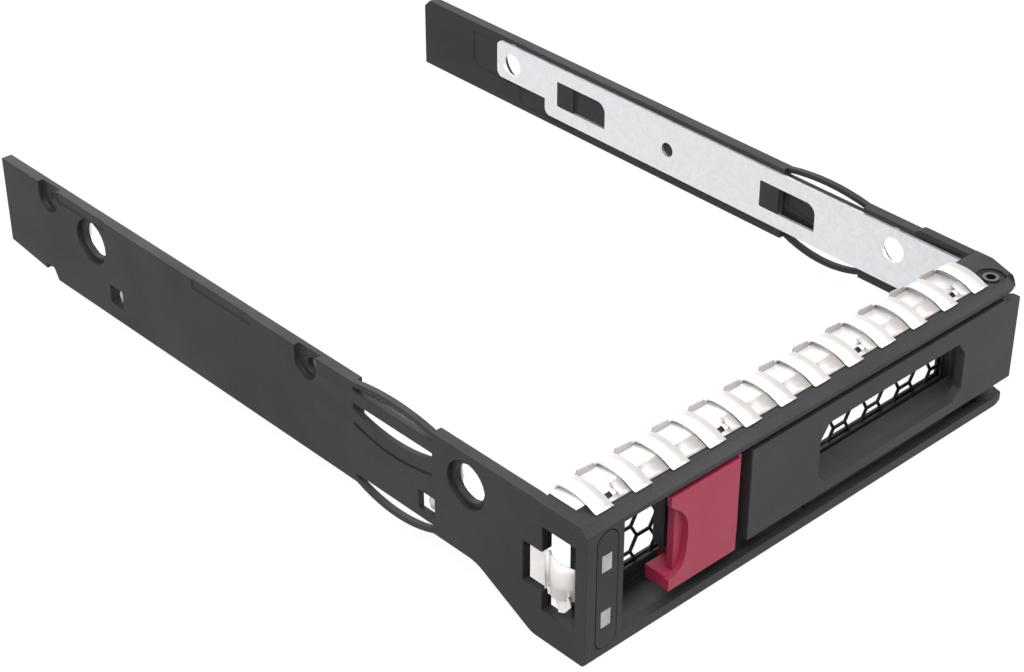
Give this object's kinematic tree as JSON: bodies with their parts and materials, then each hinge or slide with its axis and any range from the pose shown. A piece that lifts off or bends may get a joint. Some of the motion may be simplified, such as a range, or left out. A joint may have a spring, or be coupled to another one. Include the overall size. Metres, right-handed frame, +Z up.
{
  "type": "hot-swap drive carrier",
  "caption": "Low hot-swap drive caddy with two sprung side rails, a vented bezel, a swing-out latch lever with a finger window, a sliding release button and contact fingers on top.",
  "frame": {"origin": "centre of the footprint of the whole carrier, on the flat underside of its bezel", "axes": "+X to the right along the bezel as seen from the front, +Y from the bezel to the rear end of the rails, +Z up"},
  "size_m": [0.108, 0.1566, 0.0277],
  "materials": {
    "frame_plastic": "fine spark-eroded texture",
    "lever_plastic": "fine spark-eroded texture",
    "cover_plastic": "satin",
    "mesh_black": "satin black",
    "galvanised_steel": "zinc spangle",
    "spring_steel": "bright rolled",
    "pin_steel": "drawn",
    "lens_plastic": "frosted",
    "button_plastic": "satin maroon"
  },
  "bodies": {
    "carrier": {"carrier_frame": "frame_plastic", "left_side_plate": "galvanised_steel", "right_side_plate": "galvanised_steel", "finger_strip": "spring_steel", "ground_spring": "spring_steel", "vent_mesh": "mesh_black", "indicator_cover": "cover_plastic", "upper_lens": "lens_plastic", "lower_lens": "lens_plastic", "pivot_pin": "pin_steel", "lever_spring": "pin_steel", "button_spring": "pin_steel"},
    "lever": {"latch_lever": "lever_plastic"},
    "button": {"release_button": "button_plastic"}
  },
  "joints": [
    {"name": "lever_swing", "type": "hinge", "parent": "carrier", "child": "lever", "pos_m": [0.04895, -0.0745, 0.0143], "axis": [0, 0, 1], "range_deg": [0, 60]},
    {"name": "button_press", "type": "slide", "parent": "carrier", "child": "button", "axis": [1, 0, 0], "range_m": [0, 0.0018], "stiffness_N_per_m": 600, "springref_m": -0.001, "deforming": ["button_spring"]}
  ]
}
